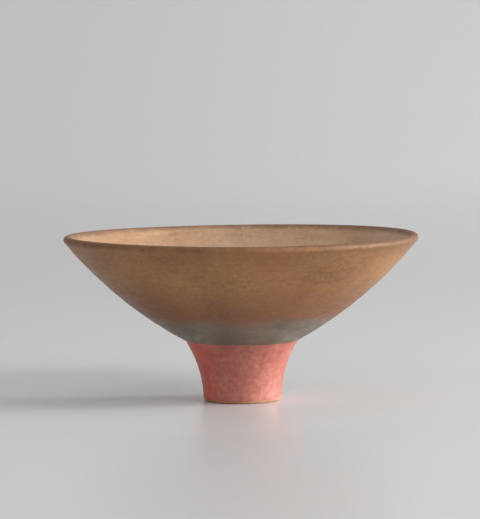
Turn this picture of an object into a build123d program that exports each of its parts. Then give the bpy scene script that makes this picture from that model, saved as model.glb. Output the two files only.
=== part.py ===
from build123d import *
import os
from math import atan, atan2, cos, sin, sqrt

# A wide terra sigillata bowl on a hollow pedestal foot.
# The clay is two thrown pieces: the bowl, and a foot whose top is luted into a groove turned in
# the underside of the bowl. Thin coats of fine slip cover what shows. The foot ring stays bare.
# Sizes are millimetres. Z is up, and the origin is the centre of the base, on the table.
# Every piece is round, so it is drawn as a half section, radius by height, and turned about Z.

# The bowl
HEIGHT = 91.0  # table to the crest of the rim
RIM_RADIUS = 97.0
LIP_THICKNESS = 3.6  # the rim is a full round of this width
WALL_BULGE = 3.5  # rise of an arc from the foot to the middle of the lip, leaning as the wall does
FLOOR_THICKNESS = 6.0  # clay under the middle of the bowl

# The foot
FOOT_HEIGHT = 33.7  # table to the underside of the bowl
FOOT_BASE_RADIUS = 21.0
FOOT_TOP_RADIUS = 31.0
FOOT_WAIST = 2.4  # how far the side draws in from a straight line between base and top
FOOT_RING_WIDTH = 5.5  # wall of the foot where it stands
FOOT_TOP_WIDTH = 7.0  # wall of the foot where it meets the bowl
FOOT_EDGE_ROUND = 1.0

# The luted seat
SEAT_DEPTH = 2.4  # groove in the underside of the bowl
SLIP_SIDE = 0.5  # slip on each side of the foot's top
SLIP_ABOVE = 0.8  # slip between the foot's top and the end of the groove

# The coats
COAT_THICKNESS = 0.3
BAND_WIDTH = 29.0  # smoke-grey band, measured up the wall from the foot
BARE_WIDTH = 0.8  # uncoated clay between the rounded edge of the foot and the coat


def beside(edge, share, distance):
    """A point at a share of an edge's length, moved off the edge to the left of its run."""
    run = edge % share
    return edge @ share + Vector(-run.Y, run.X) * distance


def moved(arc, distance):
    """The arc on the same centre, moved to the left of its run."""
    return ThreePointArc(*(beside(arc, share, distance) for share in (0, 0.5, 1)))


def turned(section):
    """The solid of a half section, with its faces cut where the section's edges are."""
    return revolve(Plane.XZ * section, Axis.Z, clean=False)


def ring_section(inner, outer, low, high):
    """Half section of a flat ring."""
    return Pos((inner + outer) / 2, (low + high) / 2) * Rectangle(outer - inner, high - low)


def coat(*arcs):
    """A skin on the left of a run of arcs, face to face with them."""
    skin = [moved(arc, COAT_THICKNESS) for arc in arcs]
    start = Line(arcs[0] @ 0, skin[0] @ 0)
    end = Line(arcs[-1] @ 1, skin[-1] @ 1)
    return turned(make_face([*arcs, *skin, start, end]))


def drawn_in(top, base):
    """The foot's side, from top to base, hollowed towards the axis."""
    straight = Line(top, base)
    return ThreePointArc(top, beside(straight, 0.5, -FOOT_WAIST), base)


# The groove goes round the foot's top with room for slip.
foot_top_inner = FOOT_TOP_RADIUS - FOOT_TOP_WIDTH
groove_outer = FOOT_TOP_RADIUS + SLIP_SIDE
groove_inner = foot_top_inner - SLIP_SIDE
groove_end = FOOT_HEIGHT + SEAT_DEPTH
foot_end = groove_end - SLIP_ABOVE

# The wall leans most at the foot and least at the rim, where it runs into the round of the lip.
joint = Vector(groove_outer, FOOT_HEIGHT)
lip_centre = Vector(RIM_RADIUS - LIP_THICKNESS / 2, HEIGHT - LIP_THICKNESS / 2)
chord = lip_centre - joint
rim_lean = atan2(chord.X, chord.Y) - 2 * atan(2 * WALL_BULGE / chord.length)
rim_way = Vector(sin(rim_lean), cos(rim_lean))
lip_side = Vector(cos(rim_lean), -sin(rim_lean)) * (LIP_THICKNESS / 2)
outer_rim = lip_centre + lip_side
inner_rim = lip_centre - lip_side
crest = Vector(lip_centre.X, HEIGHT)

# The inside is one sweep of two arcs, level at the middle of the floor and leaning as the rim does.
floor_centre = Vector(0, FOOT_HEIGHT + FLOOR_THICKNESS)
floor_way = Vector(1, 0)
span = inner_rim - floor_centre
ahead = span.dot(floor_way + rim_way)
turn = 2 * (1 - floor_way.dot(rim_way))
reach = (sqrt(ahead**2 + turn * span.dot(span)) - ahead) / turn
sweep_middle = (floor_centre + floor_way * reach + inner_rim - rim_way * reach) / 2

# The outline of the clay, from the middle of the floor over the rim to the foot.
# It is cut at the crest of the rim and at the top of the smoked band, where the coats meet.
floor_arc = TangentArc(floor_centre, sweep_middle, tangent=floor_way)
inner_wall = TangentArc(sweep_middle, inner_rim, tangent=floor_arc % 1)
inner_lip = TangentArc(inner_rim, crest, tangent=rim_way)
outer_lip = TangentArc(crest, outer_rim, tangent=(1, 0))
outer_wall = TangentArc(outer_rim, joint, tangent=-rim_way)
band_start = 1 - BAND_WIDTH / outer_wall.length
brown_wall = outer_wall.trim(0, band_start)
smoked_wall = outer_wall.trim(band_start, 1)

# The bowl, with its flat turned underside and the groove for the foot.
underside = Polyline(
    joint,
    (groove_outer, groove_end),
    (groove_inner, groove_end),
    (groove_inner, FOOT_HEIGHT),
    (0, FOOT_HEIGHT),
    floor_centre,
)
inside = [floor_arc, inner_wall, inner_lip]
outside = [outer_lip, brown_wall, smoked_wall]
bowl_body = turned(make_face([*inside, *outside, *underside.edges()]))

# The foot, hollow, with a flat ring to stand on and rounded edges there.
foot_side = drawn_in((FOOT_TOP_RADIUS, FOOT_HEIGHT), (FOOT_BASE_RADIUS, 0))
bare_start = 1 - (FOOT_EDGE_ROUND + BARE_WIDTH) / foot_side.length
coated_side = foot_side.trim(0, bare_start)
bare_side = foot_side.trim(bare_start, 1)
foot_inside = drawn_in((foot_top_inner, FOOT_HEIGHT), (FOOT_BASE_RADIUS - FOOT_RING_WIDTH, 0))
foot_ring = Line(foot_side @ 1, foot_inside @ 1)
foot_seat = Polyline(
    foot_side @ 0,
    (FOOT_TOP_RADIUS, foot_end),
    (foot_top_inner, foot_end),
    foot_inside @ 0,
)
foot_section = make_face([coated_side, bare_side, foot_inside, foot_ring, *foot_seat.edges()])
ring_corners = foot_section.vertices().group_by(Axis.Y)[0]
foot = turned(fillet(ring_corners, FOOT_EDGE_ROUND))

# The slip fills the groove round the foot's top.
groove_section = ring_section(groove_inner, groove_outer, FOOT_HEIGHT, groove_end)
foot_top_section = ring_section(foot_top_inner, FOOT_TOP_RADIUS, FOOT_HEIGHT, foot_end)
luting_slip = turned(groove_section - foot_top_section)

# The coats follow the clay.
inner_coat = coat(floor_arc, inner_wall, inner_lip)
outer_coat = coat(outer_lip, brown_wall)
band_coat = coat(smoked_wall)
foot_coat = coat(coated_side)

pieces = {
    "bowl_body": bowl_body,
    "foot": foot,
    "luting_slip": luting_slip,
    "inner_coat": inner_coat,
    "outer_coat": outer_coat,
    "band_coat": band_coat,
    "foot_coat": foot_coat,
}

os.makedirs("parts", exist_ok=True)
for name, piece in pieces.items():
    export_step(piece, f"parts/{name}.step")
    print(name, round(piece.volume), "mm3")
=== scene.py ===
# %% [markdown]
# This lesson dresses a wide footed bowl. The real one is thrown on a wheel in two pieces, joined with slip,
# and coated with terra sigillata, a slip so fine that it takes a soft shine when it is rubbed with a smooth
# stone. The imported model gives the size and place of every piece, so it is loaded first and never moved.

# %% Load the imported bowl
from collections import namedtuple
from math import atan, atan2, cos, hypot, radians, sin, sqrt, tau

import bmesh
import bpy
from mathutils import Color, Matrix, Vector, noise


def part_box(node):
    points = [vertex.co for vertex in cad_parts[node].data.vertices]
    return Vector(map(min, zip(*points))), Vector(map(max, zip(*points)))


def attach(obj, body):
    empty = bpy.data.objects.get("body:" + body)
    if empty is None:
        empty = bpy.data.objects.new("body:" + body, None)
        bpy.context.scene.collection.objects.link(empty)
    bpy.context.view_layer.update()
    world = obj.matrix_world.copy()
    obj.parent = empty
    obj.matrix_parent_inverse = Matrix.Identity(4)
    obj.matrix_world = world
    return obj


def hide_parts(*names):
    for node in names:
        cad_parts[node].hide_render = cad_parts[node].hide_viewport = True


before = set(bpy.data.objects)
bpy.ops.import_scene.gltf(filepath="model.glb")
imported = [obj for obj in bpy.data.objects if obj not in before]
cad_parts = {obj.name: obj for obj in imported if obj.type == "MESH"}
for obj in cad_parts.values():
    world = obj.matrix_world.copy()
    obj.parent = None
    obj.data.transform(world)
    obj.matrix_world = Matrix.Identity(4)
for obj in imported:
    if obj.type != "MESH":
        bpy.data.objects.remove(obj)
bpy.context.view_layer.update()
print("The packed bowl holds", ", ".join(sorted(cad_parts)))

# %% [markdown]
# A wheel makes round things, so half a section tells all about a piece: how far from the axis, and how
# high. Its sizes could be typed in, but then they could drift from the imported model. They are read from the
# boxes round the nodes instead, and only the few that a box can't show are given here, in metres.

# %% Read the section's sizes
WALL_BULGE = 0.0035  # rise of an arc from the foot to the middle of the lip
BAND_WIDTH = 0.029  # the smoked band, measured up the wall from the foot
FOOT_BASE_RADIUS = 0.021
FOOT_RING_WIDTH = 0.0055
FOOT_TOP_WIDTH = 0.007
FOOT_WAIST = 0.0024  # how far the foot's side draws in from a straight line
FOOT_EDGE_ROUND = 0.001
BARE_WIDTH = 0.0008  # clay left bare between the rounded edge of the foot and the coat

clay_reach, _, rim_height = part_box("bowl_body")[1]
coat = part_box("outer_coat")[1].x - clay_reach
lip_radius = clay_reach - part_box("inner_coat")[1].x
lip_centre = Vector((clay_reach - lip_radius, rim_height - lip_radius))
floor_centre = Vector((0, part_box("inner_coat")[0].z))
joint = Vector((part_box("luting_slip")[1].x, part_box("luting_slip")[0].z))
groove_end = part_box("luting_slip")[1].z
foot_top_radius, _, foot_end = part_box("foot")[1]

# %% [markdown]
# The section is made of arcs that run into each other. Points could be worked out along each of them, but
# an arc is fully told by where it starts, which way it sets off, how far it turns and about what centre.
# Those are also what Blender's spin operator needs, so the arcs are kept in that form and spun later.

# %% Describe an arc
Arc = namedtuple("Arc", "start way turn centre")


def left_of(way):
    return Vector((-way.y, way.x))


def arc_to(start, way, end):
    """The arc that leaves start in a direction and arrives at end."""
    chord = end - start
    half_turn = atan2(way.cross(chord), way.dot(chord))
    radius = chord.length / (2 * sin(half_turn))
    return Arc(start, way, 2 * half_turn, start + left_of(way) * radius)


def end_of(arc):
    return arc.centre + Matrix.Rotation(arc.turn, 2) @ (arc.start - arc.centre)


def end_way(arc):
    return Matrix.Rotation(arc.turn, 2) @ arc.way


def length_of(arc):
    return abs(arc.turn) * (arc.start - arc.centre).length


def cut(arc, length):
    """The arc in two, the second of them that long."""
    share = 1 - length / length_of(arc)
    first = arc._replace(turn=arc.turn * share)
    return first, Arc(end_of(first), end_way(first), arc.turn - first.turn, arc.centre)


# %% [markdown]
# The wall leans most at the foot and least at the rim, and ends in a full round. Inside, two arcs sweep
# from the level middle of the floor to the rim. The outline runs from the floor over the rim and down to
# the foot, so that the air is always on its left. It is cut where one coat stops and the next begins.

# %% Draw the bowl's outline
chord = lip_centre - joint
rim_lean = atan2(chord.x, chord.y) - 2 * atan(2 * WALL_BULGE / chord.length)
rim_way = Vector((sin(rim_lean), cos(rim_lean)))
outer_rim = lip_centre - left_of(rim_way) * lip_radius
inner_rim = lip_centre + left_of(rim_way) * lip_radius
crest = Vector((lip_centre.x, rim_height))

level = Vector((1, 0))
span = inner_rim - floor_centre
ahead = span.dot(level + rim_way)
bend = 2 * (1 - level.dot(rim_way))
reach = (sqrt(ahead**2 + bend * span.dot(span)) - ahead) / bend
sweep_middle = (floor_centre + level * reach + inner_rim - rim_way * reach) / 2

floor_arc = arc_to(floor_centre, level, sweep_middle)
inner_wall = arc_to(sweep_middle, end_way(floor_arc), inner_rim)
inner_lip = arc_to(inner_rim, rim_way, crest)
outer_lip = arc_to(crest, level, outer_rim)
brown_wall, smoked_wall = cut(arc_to(outer_rim, -rim_way, joint), BAND_WIDTH)
print(f"The wall leans {rim_lean / radians(1):.1f} degrees from upright at the rim")

# %% [markdown]
# The foot is a hollow pedestal. Its sides draw in between a narrow base and a wide top, inside as well as
# outside.

# %% Draw the foot's outline


def drawn_in(top, base):
    """The foot's side, from top to base, hollowed towards the axis."""
    chord = base - top
    half_turn = 2 * atan(2 * FOOT_WAIST / chord.length)
    return arc_to(top, Matrix.Rotation(-half_turn, 2) @ chord.normalized(), base)


foot_top = Vector((foot_top_radius, joint.y))
foot_base = Vector((FOOT_BASE_RADIUS, 0))
hollow_top = Vector((foot_top_radius - FOOT_TOP_WIDTH, joint.y))
hollow_base = Vector((FOOT_BASE_RADIUS - FOOT_RING_WIDTH, 0))
foot_side = drawn_in(foot_top, foot_base)
foot_inside = drawn_in(hollow_top, hollow_base)
coated_side, bare_side = cut(foot_side, FOOT_EDGE_ROUND + BARE_WIDTH)

# %% [markdown]
# Two small tools do all the throwing. The first grows a line of edges from one vertex by spinning it about
# each arc's centre. The second spins the finished section about the wheel's axis. A full spin closes on
# itself only with use_merge, and vertices on the axis pile up, so doubles are merged before the normals are
# recalculated.

# %% Grow a section and turn it
GRAIN = 0.001  # length of an edge along a section
FINEST_TURN = radians(8)  # and the most that an edge turns from the last one
SECTION_AXIS = (0, -1, 0)  # the arcs of a section turn about this
WHEEL_CENTRE = (0, 0, 0)
WHEEL_AXIS = (0, 0, 1)
WHEEL_STEPS = 256
MERGE_DISTANCE = 1e-6


def vertex_at(bm, place):
    return bm.verts.new((place.x, 0, place.y))


def grow(bm, vertex, arcs):
    """Edges from a vertex along the arcs, as far beside them as the vertex is. Gives the last vertex."""
    for arc in arcs:
        steps = max(round(length_of(arc) / GRAIN), round(abs(arc.turn) / FINEST_TURN), 1)
        centre = (arc.centre.x, 0, arc.centre.y)
        grown = bmesh.ops.spin(
            bm,
            geom=[vertex],
            cent=centre,
            axis=SECTION_AXIS,
            angle=arc.turn,
            steps=steps,
        )
        vertex = next(part for part in grown["geom_last"] if isinstance(part, bmesh.types.BMVert))
    return vertex


def turn_on_wheel(bm):
    bmesh.ops.spin(
        bm,
        geom=bm.verts[:] + bm.edges[:],
        cent=WHEEL_CENTRE,
        axis=WHEEL_AXIS,
        angle=tau,
        steps=WHEEL_STEPS,
        use_merge=True,
    )
    bmesh.ops.remove_doubles(bm, verts=bm.verts, dist=MERGE_DISTANCE)
    bmesh.ops.recalc_face_normals(bm, faces=bm.faces)


# %% [markdown]
# A coat is a thin shell. A solidify step could thicken a single skin, but both faces follow arcs about the
# same centres, so the section is grown twice, once on the clay and once a coat's thickness off it, and
# closed at the ends. At the axis no edge is added, because a spun edge there has no area.

# %% Make a coat from arcs


def coat_on(arcs):
    bm = bmesh.new()
    first = arcs[0]
    under = vertex_at(bm, first.start)
    over = vertex_at(bm, first.start + left_of(first.way) * coat)
    if first.start.x > MERGE_DISTANCE:
        bm.edges.new((under, over))
    bm.edges.new((grow(bm, under, arcs), grow(bm, over, arcs)))
    turn_on_wheel(bm)
    return bm


# %% [markdown]
# Hands and drying leave their traces. Fingers press low ridges that wind up the wall, and a rim is never
# quite level. A bump map could hint at both, but their outline and highlights would stay perfect, so the
# vertices are moved. Each move depends only on where a vertex is, and the ridges run out below the crest,
# so coats that meet edge to edge stay flush.

# %% Leave the potter's marks
WARP = 0.0004  # how far the rim rises and dips
WARP_TURN = 0.9
RIDGES_FADE = 0.006  # ridges run out over this height below the crest
RIDGE_WAVER = 0.6


def ease(share):
    share = min(max(share, 0), 1)
    return share * share * (3 - 2 * share)


def ripple(place, spacing, waver):
    """Uneven ridges round the wheel, between -1 and 1, that waver a little as they go round."""
    reach = max(hypot(place.x, place.y), MERGE_DISTANCE)
    climb = (reach + place.z) / spacing
    return noise.noise(Vector((waver * place.x / reach, waver * place.y / reach, climb)))


def throw_ridges(bm, depth, spacing):
    for vertex in bm.verts:
        share = ease((rim_height - vertex.co.z) / RIDGES_FADE)
        vertex.co.z += share * depth * ripple(vertex.co, spacing, RIDGE_WAVER)


def warp(bm):
    for vertex in bm.verts:
        height = max(0, (vertex.co.z - joint.y) / (rim_height - joint.y))
        turn = atan2(vertex.co.y, vertex.co.x)
        vertex.co.z += WARP * height**2 * sin(2 * turn + WARP_TURN)


# %% [markdown]
# Every piece ends the same way: the mesh is handed to an object at the origin, shaded smooth with its real
# edges kept sharp, and told which body it rides on. The node that it stands for is hidden.

# %% Put a piece in the scene
SHARP_EDGE = radians(35)


def place_piece(name, bm, node):
    mesh = bpy.data.meshes.new(name)
    bm.to_mesh(mesh)
    bm.free()
    mesh.shade_smooth()
    mesh.set_sharp_from_angle(angle=SHARP_EDGE)
    piece = bpy.data.objects.new(name, mesh)
    bpy.context.scene.collection.objects.link(piece)
    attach(piece, "root")
    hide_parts(node)
    print(f"{name}: {len(mesh.polygons)} faces")
    return piece


# %% [markdown]
# The bowl's own clay hardly shows, since coats cover it, but it fills the wall behind them and makes the
# ceiling of the hollow foot. Its section is the whole outline, closed by the turned underside with the
# groove for the foot.

# %% Throw the clay bowl
outline = [floor_arc, inner_wall, inner_lip, outer_lip, brown_wall, smoked_wall]
groove_inner = foot_top_radius - FOOT_TOP_WIDTH - (joint.x - foot_top_radius)
underside = [
    Vector((joint.x, groove_end)),
    Vector((groove_inner, groove_end)),
    Vector((groove_inner, joint.y)),
    Vector((0, joint.y)),
]


def grow_straight(bm, vertex, places):
    """Straight edges from a vertex through the places. Gives the last vertex."""
    for place in places:
        new = vertex_at(bm, place)
        bm.edges.new((vertex, new))
        vertex = new
    return vertex


bm = bmesh.new()
wall_end = grow(bm, vertex_at(bm, floor_centre), outline)
grow_straight(bm, wall_end, underside)
turn_on_wheel(bm)
warp(bm)
bowl_clay = place_piece("bowl_clay", bm, "bowl_body")

# %% [markdown]
# The coats of the bowl follow. The inside keeps the ridges that fingers left, while outside the wall was
# turned and burnished, so its ridges are lower.

# %% Coat the bowl
INSIDE_RIDGE = 0.0003
OUTSIDE_RIDGE = 0.00018
INSIDE_SPACING = 0.009
OUTSIDE_SPACING = 0.007

bm = coat_on([floor_arc, inner_wall, inner_lip])
throw_ridges(bm, INSIDE_RIDGE, INSIDE_SPACING)
warp(bm)
tan_inside = place_piece("tan_inside", bm, "inner_coat")

bm = coat_on([outer_lip, brown_wall])
throw_ridges(bm, OUTSIDE_RIDGE, OUTSIDE_SPACING)
warp(bm)
brown_outside = place_piece("brown_outside", bm, "outer_coat")

bm = coat_on([smoked_wall])
throw_ridges(bm, OUTSIDE_RIDGE, OUTSIDE_SPACING)
warp(bm)
smoked_band = place_piece("smoked_band", bm, "band_coat")

# %% [markdown]
# The foot's section is closed by the ring that it stands on and by the tenon that fits the groove. The
# ring's corners were wiped round with a sponge, which is a bevel of the two circles on the table.

# %% Throw the foot
FOOT_EDGE_STEPS = 4
TURNING_DEPTH = 0.00012
TURNING_SPACING = 0.0026
TURNING_WAVER = 0.4


def turn_foot(bm):
    """Fine grooves of a turning tool, cut towards the axis."""
    for vertex in bm.verts:
        reach = hypot(vertex.co.x, vertex.co.y)
        share = ease(vertex.co.z / FOOT_EDGE_ROUND - 1)
        groove = 1 + share * TURNING_DEPTH * ripple(vertex.co, TURNING_SPACING, TURNING_WAVER) / reach
        vertex.co.x *= groove
        vertex.co.y *= groove


def on_table(edge):
    """Whether an edge is part of a circle on the table."""
    first, second = (vertex.co for vertex in edge.verts)
    low = max(first.z, second.z) < MERGE_DISTANCE
    return low and abs(first.xy.length - second.xy.length) < MERGE_DISTANCE


tenon = [Vector((hollow_top.x, foot_end)), Vector((foot_top_radius, foot_end))]
bm = bmesh.new()
top = vertex_at(bm, foot_top)
outer_foot = grow(bm, top, [coated_side, bare_side])
inner_top = vertex_at(bm, hollow_top)
inner_foot = grow(bm, inner_top, [foot_inside])
bm.edges.new((outer_foot, inner_foot))
bm.edges.new((grow_straight(bm, inner_top, tenon), top))
turn_on_wheel(bm)
bmesh.ops.bevel(
    bm,
    geom=[edge for edge in bm.edges if on_table(edge)],
    offset=FOOT_EDGE_ROUND,
    affect="EDGES",
    segments=FOOT_EDGE_STEPS,
    profile=0.5,
    material=-1,
)
turn_foot(bm)
foot_clay = place_piece("foot_clay", bm, "foot")

# %% [markdown]
# The red coat was brushed on the turning foot and stops a little above the table, where a wet thumb wiped
# it off. Such an edge wanders, so the coat's last stretch is pulled up and down round the foot.

# %% Coat the foot
WIPED_WANDER = 0.0004
WIPED_REACH = 0.005
WIPED_WAVER = 3.0

bm = coat_on([coated_side])
edge_height = min(vertex.co.z for vertex in bm.verts)
for vertex in bm.verts:
    share = ease(1 - (vertex.co.z - edge_height) / WIPED_REACH)
    spot = Vector((vertex.co.x, vertex.co.y, 0)).normalized() * WIPED_WAVER
    vertex.co.z += share * WIPED_WANDER * noise.noise(spot)
turn_foot(bm)
red_foot = place_piece("red_foot", bm, "foot_coat")

# %% [markdown]
# The finishes are all made of nodes. A burnished slip has clouds of colour, fine lines where the stone
# rubbed round the pot, and a shine that comes and goes with those lines. Each finish needs the same few
# steps, so they are small helpers first: one adds a node, and the others do sums, fade and tell right from
# left.

# %% Helpers for sums


def add(tree, kind, inputs=None, **settings):
    """A node of that kind. An input takes a number, a colour, or another node's output."""
    node = tree.nodes.new("ShaderNode" + kind)
    for name, value in settings.items():
        setattr(node, name, value)
    for key, value in (inputs or {}).items():
        if isinstance(value, bpy.types.NodeSocket):
            tree.links.new(value, node.inputs[key])
        else:
            node.inputs[key].default_value = value
    return node


def calc(tree, operation, first, second):
    return add(tree, "Math", {0: first, 1: second}, operation=operation).outputs[0]


def swing(tree, value, share):
    """A value round 0.5 as one round nothing, with only a share of its swing."""
    return calc(tree, "MULTIPLY", calc(tree, "SUBTRACT", value, 0.5), share)


def fade(tree, value, low, high, to_low=0.0, to_high=1.0):
    """Runs smoothly from to_low, where the value is low, to to_high, where it is high."""
    span = {"Value": value, "From Min": low, "From Max": high, "To Min": to_low, "To Max": to_high}
    return add(tree, "MapRange", span, interpolation_type="SMOOTHSTEP").outputs[0]


def rightwards(tree, vector):
    """How far a vector goes to the right. On the left it is less than nothing."""
    return add(tree, "SeparateXYZ", {0: vector}).outputs["X"]


# %% [markdown]
# The next helpers draw and colour. Noise is what mottles a slip, and its values crowd round the middle, so
# they are stretched before they choose a tone. Tones are given as a screen shows them. Sockets take linear
# light, so each tone is converted.

# %% Helpers for colour
NOISE_LOW, NOISE_HIGH = 0.3, 0.7  # nearly all noise lies between these
MIX_SHARE, MIX_FIRST, MIX_SECOND, MIX_RESULT = 0, 6, 7, 2  # sockets of a Mix node set to colours


def mottle(tree, place, scale, detail=3.0, roughness=0.55):
    """Noise with that many cells to a metre."""
    settings = {"Vector": place, "Scale": scale, "Detail": detail, "Roughness": roughness}
    return add(tree, "TexNoise", settings).outputs[0]


def stretched(tree, value, to_low=0.0, to_high=1.0):
    return fade(tree, value, NOISE_LOW, NOISE_HIGH, to_low, to_high)


def blend(tree, share, first, second):
    colours = {MIX_SHARE: share, MIX_FIRST: first, MIX_SECOND: second}
    return add(tree, "Mix", colours, data_type="RGBA").outputs[MIX_RESULT]


def shade(red, green, blue):
    """A colour as a screen shows it, from 0 to 255, as the linear colour that sockets take."""
    linear = Color((red / 255, green / 255, blue / 255)).from_srgb_to_scene_linear()
    return (*linear, 1)


def scale_of_tones(tree, value, tones):
    """Colours at even steps along a value from 0 to 1."""
    node = add(tree, "ValToRGB", {0: value})
    stops = node.color_ramp.elements
    for _ in tones[2:]:
        stops.new(0.5)
    for step, tone in enumerate(tones):
        stops[step].position = step / (len(tones) - 1)
        stops[step].color = tone
    return node.outputs[0]


# %% [markdown]
# Marks on a thrown pot run round it. Noise on plain coordinates has no direction, so the place on the pot
# is first rolled out: the direction from the axis, times a number for how often marks change on the way
# round, and the distance up the wall, times a number for how close they lie. Noise on that comes out as
# long strokes.

# %% Roll the pot out
Place = namedtuple("Place", "spot way along height")


def places_on(tree):
    spot = add(tree, "TexCoord").outputs["Object"]
    part = add(tree, "SeparateXYZ", {0: spot}).outputs
    flat = add(tree, "CombineXYZ", {"X": part["X"], "Y": part["Y"]}).outputs[0]
    way = add(tree, "VectorMath", {0: flat}, operation="NORMALIZE").outputs["Vector"]
    distance = add(tree, "VectorMath", {0: flat}, operation="LENGTH").outputs["Value"]
    return Place(spot, way, calc(tree, "ADD", distance, part["Z"]), part["Z"])


def strokes(tree, place, around, across):
    """Long marks round the pot, with around changes to a radian and across of them to a metre."""
    turn = add(tree, "VectorMath", {0: place.way, "Scale": around}, operation="SCALE").outputs["Vector"]
    rise = add(tree, "CombineXYZ", {"Z": calc(tree, "MULTIPLY", place.along, across)}).outputs[0]
    rolled = add(tree, "VectorMath", {0: turn, 1: rise}, operation="ADD").outputs["Vector"]
    return mottle(tree, rolled, scale=1.0, detail=2.0)


# %% [markdown]
# One recipe then serves every coat of sigillata, with its own tones. Soft clouds from the fire and a fine
# mottle of the slip choose a tone between the darkest and the palest. The strokes of the stone hardly
# change the colour. They show as a change of shine and as faint relief, which is what tells a rubbed pot
# from a grained board.

# %% The burnished slip
Shine = namedtuple("Shine", "level rubbed dull")  # its strength, and the roughness with and without rubbing
BURNISH_HEIGHT = 0.00012
BURNISH_STRENGTH = 0.35
FINE_RELIEF = 0.5
CLOUD_SHARE = 0.55
FINE_SHARE = 0.3
FINE_SCALE = 420.0
STROKES_AROUND, STROKES_ACROSS = 7.0, 260.0
SPECK_TONE = shade(70, 44, 30)
SPECK_SCALE = 620.0
SPECK_FROM, SPECK_FULL = 0.7, 0.77  # of the noise that places them


def new_finish(name):
    """An empty finish: its node tree and its shader."""
    material = bpy.data.materials.new(name)
    material.use_nodes = True
    tree = material.node_tree
    return material, tree, tree.nodes["Principled BSDF"]


def tone_share(tree, place, cloud_size, stroke_share):
    """Which tone a spot has, and the strokes and the fine mottle that are part of it."""
    cloud = stretched(tree, mottle(tree, place.spot, 1 / cloud_size, detail=6.0, roughness=0.62))
    stroke = stretched(tree, strokes(tree, place, STROKES_AROUND, STROKES_ACROSS))
    fine = stretched(tree, mottle(tree, place.spot, FINE_SCALE, detail=4.0, roughness=0.6))
    share = calc(tree, "ADD", swing(tree, cloud, CLOUD_SHARE), swing(tree, stroke, stroke_share))
    share = calc(tree, "ADD", share, swing(tree, fine, FINE_SHARE))
    return calc(tree, "ADD", share, 0.5), stroke, fine


def fleck(tree, place, colour, share):
    """Small dark specks of iron in the slip."""
    specks = mottle(tree, place.spot, SPECK_SCALE, detail=1.0)
    return blend(tree, fade(tree, specks, SPECK_FROM, SPECK_FULL, 0.0, share), colour, SPECK_TONE)


def burnish(tree, shader, shine, stroke, fine, worn=0.0):
    """Shine and fine relief that follow the strokes. The shine is lost where the slip is worn."""
    shader.inputs["Specular IOR Level"].default_value = shine.level
    rough = calc(tree, "ADD", fade(tree, stroke, 0.0, 1.0, shine.rubbed, shine.dull), worn)
    tree.links.new(rough, shader.inputs["Roughness"])
    relief = calc(tree, "ADD", stroke, calc(tree, "MULTIPLY", fine, FINE_RELIEF))
    bump = add(tree, "Bump", {"Height": relief, "Strength": BURNISH_STRENGTH, "Distance": BURNISH_HEIGHT})
    tree.links.new(bump.outputs[0], shader.inputs["Normal"])


# %% [markdown]
# Smoke in the kiln turned the underside of the bowl grey near the foot, and it fades upwards in soft,
# uneven wisps. Where it ends, the fire left a redder flash. The band and the brown coat above it are
# separate pieces, so both get the same smoke, worked out from the height.

# %% Smoke above the foot
SMOKE_TONES = [shade(108, 101, 89), shade(121, 113, 100), shade(134, 125, 110)]
SMOKE_SHARE = 0.94
SMOKE_FULL = 0.043  # height up to which it is whole
SMOKE_TOP = 0.0515
SMOKE_DRIFT = 0.012
SMOKE_SCALE = 38.0
WISP_SCALE = 60.0
FLASH_TONE = shade(122, 69, 43)
FLASH_SHARE = 0.7
FLASH_TOP = 0.074


def drifted(tree, place, scale, drift):
    """The height of a spot, moved up and down by noise."""
    move = swing(tree, mottle(tree, place.spot, scale, detail=4.0, roughness=0.6), drift)
    return calc(tree, "ADD", place.height, move)


def smoke(tree, place, colour):
    height = drifted(tree, place, SMOKE_SCALE, SMOKE_DRIFT)
    colour = blend(tree, fade(tree, height, SMOKE_FULL, FLASH_TOP, FLASH_SHARE, 0.0), colour, FLASH_TONE)
    share = fade(tree, height, SMOKE_FULL, SMOKE_TOP, SMOKE_SHARE, 0.0)
    wisp = stretched(tree, mottle(tree, place.spot, WISP_SCALE))
    return blend(tree, share, colour, scale_of_tones(tree, wisp, SMOKE_TONES))


# %% [markdown]
# The rim stood in the fire's path too. It is browned and dull along its edge. Under it the wall is painted a
# little darker all round, and much darker on the right, as painted shade on the side where the key light
# falls.

# %% The browned rim and the painted shade under it
BROWNED_TONE = shade(98, 66, 44)
BROWNED_SHARE = 0.8
BROWNED_WIDTH = 0.0034
BROWNED_DULL = 0.35
BROWNED_SCALE = 120.0
# Painted shade under the rim: a little on the left, most on the right, where the key light falls.
PAINTED_RIM_SHADE_TONE = shade(104, 72, 48)
PAINTED_RIM_SHADE_SHARES = 0.18, 0.65  # at the left and at the right
PAINTED_RIM_SHADE_FROM, PAINTED_RIM_SHADE_FULL = 0.2, 0.9  # how far to the right, where 1 is straight right
PAINTED_RIM_SHADE_WIDTH = 0.014
PAINTED_RIM_SHADE_SCALE = 45.0


def brown_rim(tree, place, colour):
    """The colour with a browned rim, and how much of its shine the rim has lost."""
    height = drifted(tree, place, BROWNED_SCALE, BROWNED_WIDTH)
    share = fade(tree, height, rim_height - BROWNED_WIDTH, rim_height, 0.0, BROWNED_SHARE)
    return blend(tree, share, colour, BROWNED_TONE), calc(tree, "MULTIPLY", share, BROWNED_DULL)


def painted_rim_shade(tree, place, colour):
    """A darker zone under the rim: painted shade, faint on the left and strongest on the right, where the key
    light falls.
    """
    most = fade(tree, rightwards(tree, place.way), PAINTED_RIM_SHADE_FROM, PAINTED_RIM_SHADE_FULL, *PAINTED_RIM_SHADE_SHARES)
    height = drifted(tree, place, PAINTED_RIM_SHADE_SCALE, PAINTED_RIM_SHADE_WIDTH)
    depth = fade(tree, height, rim_height - PAINTED_RIM_SHADE_WIDTH, rim_height)
    return blend(tree, calc(tree, "MULTIPLY", depth, most), colour, PAINTED_RIM_SHADE_TONE)


# %% [markdown]
# The brown outside is the colour that the bowl is known by: warm umber with redder and paler clouds. The
# smoked band gets the same recipe, so that the two pieces read as one wall.

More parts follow.
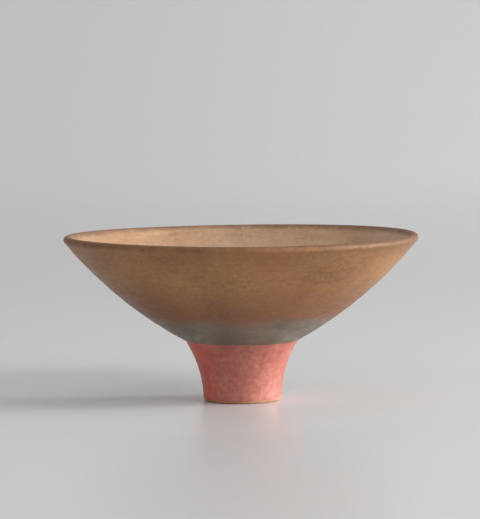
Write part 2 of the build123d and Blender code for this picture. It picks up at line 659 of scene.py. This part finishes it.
# %% Finish the outside
BROWN_TONES = [shade(120, 80, 46), shade(145, 101, 60), shade(161, 115, 70), shade(179, 133, 87)]
BROWN_CLOUD = 0.045
BROWN_STROKES = 0.22
BROWN_SPECKS = 0.6
BROWN_SHINE = Shine(level=0.4, rubbed=0.34, dull=0.5)
WARM_TONE = shade(172, 106, 64)
WARM_SHARE = 0.3
WARM_SCALE = 17.0
WARM_FROM, WARM_FULL = 0.48, 0.66  # of the noise that places it


def burnished_brown(name):
    material, tree, shader = new_finish(name)
    place = places_on(tree)
    share, stroke, fine = tone_share(tree, place, BROWN_CLOUD, BROWN_STROKES)
    colour = scale_of_tones(tree, share, BROWN_TONES)
    warmth = fade(tree, mottle(tree, place.spot, WARM_SCALE), WARM_FROM, WARM_FULL, 0.0, WARM_SHARE)
    colour = fleck(tree, place, blend(tree, warmth, colour, WARM_TONE), BROWN_SPECKS)
    # Smoke near the foot, then painted shade under the rim.
    colour = painted_rim_shade(tree, place, smoke(tree, place, colour))
    colour, worn = brown_rim(tree, place, colour)
    tree.links.new(colour, shader.inputs["Base Color"])
    burnish(tree, shader, BROWN_SHINE, stroke, fine, worn)
    return material


def dress(piece, material):
    piece.data.materials.clear()
    piece.data.materials.append(material)
    print(f"{piece.name} wears {material.name}")


dress(brown_outside, burnished_brown("brown sigillata"))
dress(smoked_band, burnished_brown("smoked sigillata"))

# %% [markdown]
# Inside, the slip is paler and was rubbed longest, so it shines most.

# %% Finish the inside
TAN_TONES = [shade(136, 101, 72), shade(154, 119, 88), shade(167, 132, 101), shade(180, 147, 116)]
TAN_CLOUD = 0.05
TAN_STROKES = 0.2
TAN_SPECKS = 0.5
TAN_SHINE = Shine(level=0.5, rubbed=0.3, dull=0.46)

material, tree, shader = new_finish("tan sigillata")
place = places_on(tree)
share, stroke, fine = tone_share(tree, place, TAN_CLOUD, TAN_STROKES)
colour = fleck(tree, place, scale_of_tones(tree, share, TAN_TONES), TAN_SPECKS)
colour, worn = brown_rim(tree, place, colour)
tree.links.new(colour, shader.inputs["Base Color"])
burnish(tree, shader, TAN_SHINE, stroke, fine, worn)
dress(tan_inside, material)

# %% [markdown]
# The foot's red slip is rougher than the rest and was brushed on in a few turns of the wheel, so its strokes
# show more in the colour. On the shaded left a brighter red is painted in: painted light that stands in for
# fill light there.

# %% Finish the foot
RED_TONES = [shade(156, 77, 62), shade(174, 95, 80), shade(187, 111, 94), shade(199, 130, 112)]
RED_CLOUD = 0.03
RED_STROKES = 0.3
RED_SPECKS = 0.35
RED_SHINE = Shine(level=0.65, rubbed=0.4, dull=0.56)
# Painted light: brighter red tones for the foot's shaded left side, in place of fill light.
PAINTED_LIGHT_RED_TONES = [shade(191, 78, 62), shade(207, 93, 77), shade(217, 106, 89), shade(225, 121, 103)]
PAINTED_LIGHT_RED_SHARE = 0.8
PAINTED_LIGHT_FULL_AT, PAINTED_LIGHT_NONE_AT = -0.9, -0.4  # how far to the left, where -1 is straight left

material, tree, shader = new_finish("red sigillata")
place = places_on(tree)
share, stroke, fine = tone_share(tree, place, RED_CLOUD, RED_STROKES)
# How much painted light the foot gets: all of it on the left, none towards the right.
left_painted_light = fade(tree, rightwards(tree, place.way), PAINTED_LIGHT_FULL_AT, PAINTED_LIGHT_NONE_AT, PAINTED_LIGHT_RED_SHARE, 0.0)
red, painted_light_red = (scale_of_tones(tree, share, tones) for tones in (RED_TONES, PAINTED_LIGHT_RED_TONES))
colour = fleck(tree, place, blend(tree, left_painted_light, red, painted_light_red), RED_SPECKS)
tree.links.new(colour, shader.inputs["Base Color"])
burnish(tree, shader, RED_SHINE, stroke, fine)
dress(red_foot, material)

# %% [markdown]
# Bare clay shows on the foot ring, in the hollow and as a hair of slip at the joint. It is matt and gritty,
# with dark specks of iron, and it has no shine for strokes to follow.

# %% Finish the bare clay
CLAY_TONES = [shade(168, 112, 84), shade(186, 130, 100), shade(200, 148, 118)]
SLIP_TONES = [shade(120, 70, 54), shade(140, 86, 68), shade(156, 102, 82)]
CLAY_CLOUD_SCALE = 60.0
CLAY_SPECK_TONE = shade(84, 52, 40)
CLAY_SPECK_SCALE = 900.0
CLAY_SPECK_FROM, CLAY_SPECK_FULL = 0.7, 0.76  # of the noise that places them
CLAY_SPECK_SHARE = 0.8
CLAY_ROUGHNESSES = 0.72, 0.92
GRIT_SCALE = 1100.0
GRIT_HEIGHT = 0.0003
GRIT_STRENGTH = 0.6


def bare_clay(name, tones):
    material, tree, shader = new_finish(name)
    spot = add(tree, "TexCoord").outputs["Object"]
    cloud = stretched(tree, mottle(tree, spot, CLAY_CLOUD_SCALE, detail=4.0, roughness=0.6))
    specks = mottle(tree, spot, CLAY_SPECK_SCALE, detail=1.0)
    specks = fade(tree, specks, CLAY_SPECK_FROM, CLAY_SPECK_FULL, 0.0, CLAY_SPECK_SHARE)
    colour = blend(tree, specks, scale_of_tones(tree, cloud, tones), CLAY_SPECK_TONE)
    tree.links.new(colour, shader.inputs["Base Color"])
    grit = mottle(tree, spot, GRIT_SCALE, roughness=0.7)
    tree.links.new(stretched(tree, grit, *CLAY_ROUGHNESSES), shader.inputs["Roughness"])
    bump = add(tree, "Bump", {"Height": grit, "Strength": GRIT_STRENGTH, "Distance": GRIT_HEIGHT})
    tree.links.new(bump.outputs[0], shader.inputs["Normal"])
    return material


bare = bare_clay("bare clay", CLAY_TONES)
dress(bowl_clay, bare)
dress(foot_clay, bare)
dress(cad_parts["luting_slip"], bare_clay("luting slip", SLIP_TONES))

# %% [markdown]
# The bowl stands in a plain pale studio. A flat floor would end in a line behind the bowl, so it curves up
# all round, well outside the camera's path. It is turned on the same wheel as the bowl.

# %% Build the studio floor
FLOOR_RADIUS = 1.9
CURVE_RADIUS = 2.5
CURVE_TURN = radians(60)
CURVE_STEPS = 40

bm = bmesh.new()
middle = vertex_at(bm, Vector((0, 0)))
brink = grow_straight(bm, middle, [Vector((FLOOR_RADIUS, 0))])
curve_centre = (FLOOR_RADIUS, 0, CURVE_RADIUS)
bmesh.ops.spin(bm, geom=[brink], cent=curve_centre, axis=SECTION_AXIS, angle=CURVE_TURN, steps=CURVE_STEPS)
turn_on_wheel(bm)
mesh = bpy.data.meshes.new("studio_floor")
bm.to_mesh(mesh)
bm.free()
mesh.shade_smooth()
studio_floor = bpy.data.objects.new("studio_floor", mesh)
bpy.context.scene.collection.objects.link(studio_floor)
print(f"The floor is flat for {FLOOR_RADIUS} m round the bowl")

# %% [markdown]
# Its face is satin, which gives the bowl a faint reflection. It has painted light: it is paler close to the
# bowl, where shade would fall under it, than further out, and palest where it rises as the backdrop, more so
# on the right.

# %% Finish the floor
# Painted light: a paler grey under and round the bowl, and a paler backdrop, more so on the right.
UNDER_BOWL_PAINTED_LIGHT_GREY = 0.6
FAR_FLOOR_GREY = 0.48
UNDER_BOWL_LIGHT_FROM, UNDER_BOWL_LIGHT_TO = 0.03, 0.16  # distances from the middle of the bowl's foot
BACKDROP_PAINTED_LIGHT_GREYS = 0.64, 0.755  # at the left and at the right
BACKDROP_REACH = 0.45
BACKDROP_LIGHT_FROM, BACKDROP_LIGHT_TO = 0.6, 2.4
FLOOR_ROUGHNESS = 0.3
FLOOR_SHINE = 0.25

material, tree, shader = new_finish("studio floor")
spot = add(tree, "TexCoord").outputs["Object"]
backdrop_painted_light = fade(tree, rightwards(tree, spot), -BACKDROP_REACH, BACKDROP_REACH, *BACKDROP_PAINTED_LIGHT_GREYS)
distance = add(tree, "VectorMath", {0: spot}, operation="LENGTH").outputs["Value"]
# Painted light near the foot, fading to the plain floor grey further out.
floor = fade(tree, distance, UNDER_BOWL_LIGHT_FROM, UNDER_BOWL_LIGHT_TO, UNDER_BOWL_PAINTED_LIGHT_GREY, FAR_FLOOR_GREY)
grey = fade(tree, distance, BACKDROP_LIGHT_FROM, BACKDROP_LIGHT_TO, floor, backdrop_painted_light)
tree.links.new(grey, shader.inputs["Base Color"])
shader.inputs["Roughness"].default_value = FLOOR_ROUGHNESS
shader.inputs["Specular IOR Level"].default_value = FLOOR_SHINE
dress(studio_floor, material)

# %% [markdown]
# A soft light stands low on the right, as the shading of the foot shows. A second one is higher and nearer
# the camera, since the shadow on the floor falls to the left and a little behind the bowl. A weak one
# overhead gives the inside its sheen, and an even sky fills the rest.

# %% Light the bowl
PANEL_DISTANCE = 2.2
SKY_COLOUR = (1, 1, 1, 1)
SKY_STRENGTH = 0.635


def towards(azimuth, elevation, distance):
    """A place round the bowl. Azimuth 0 is the camera's side, and 90 is the right."""
    turn, rise = radians(azimuth), radians(elevation)
    return Vector((sin(turn) * cos(rise), -cos(turn) * cos(rise), sin(rise))) * distance


def soft_light(name, azimuth, elevation, size, power):
    """A square light panel that faces the bowl."""
    lamp = bpy.data.lights.new(name, "AREA")
    lamp.shape = "SQUARE"
    lamp.size = size
    lamp.energy = power
    panel = bpy.data.objects.new(name, lamp)
    panel.location = towards(azimuth, elevation, PANEL_DISTANCE)
    panel.rotation_euler = (-panel.location).to_track_quat("-Z", "Y").to_euler()
    panel.visible_camera = False
    bpy.context.scene.collection.objects.link(panel)
    print(f"{name}: {power} W from {size} m of panel")


soft_light("key panel", azimuth=95, elevation=10, size=0.5, power=54)
soft_light("side panel", azimuth=60, elevation=35, size=1.0, power=30)
soft_light("overhead panel", azimuth=0, elevation=88, size=1.4, power=6)
world = bpy.data.worlds.new("studio sky")
world.use_nodes = True
world.node_tree.nodes["Background"].inputs["Color"].default_value = SKY_COLOUR
world.node_tree.nodes["Background"].inputs["Strength"].default_value = SKY_STRENGTH
bpy.context.scene.world = world
bpy.context.scene.view_settings.view_transform = "Standard"

# %% [markdown]
# The camera stands a little above the rim and far back, with a long lens, which keeps the rim a flat
# ellipse. The lens is worked out from how many of the picture's pixels the rim spans, and the camera is
# rolled a little, because the rim isn't quite level in the picture.

# %% Set the camera
PICTURE_HEIGHT = 519
RIM_PIXELS = 353.8
SENSOR = 36.0
CAMERA_DISTANCE = 1.4
CAMERA_RISE = 4.24
CAMERA_ROLL = radians(-0.55)
AIM = Vector((-0.0006, 0, 0.0775))

camera_data = bpy.data.cameras.new("camera")
camera = bpy.data.objects.new("camera", camera_data)
bpy.context.scene.collection.objects.link(camera)
rim_span = 2 * (clay_reach + coat)
camera_data.sensor_width = SENSOR
camera_data.lens = SENSOR * CAMERA_DISTANCE * RIM_PIXELS / (rim_span * PICTURE_HEIGHT)
camera.location = AIM + towards(0, CAMERA_RISE, CAMERA_DISTANCE)
facing = (AIM - camera.location).to_track_quat("-Z", "Y").to_matrix()
camera.rotation_euler = (facing @ Matrix.Rotation(CAMERA_ROLL, 3, "Z")).to_euler()
bpy.context.scene.camera = camera
print(f"Lens {camera_data.lens:.1f} mm")
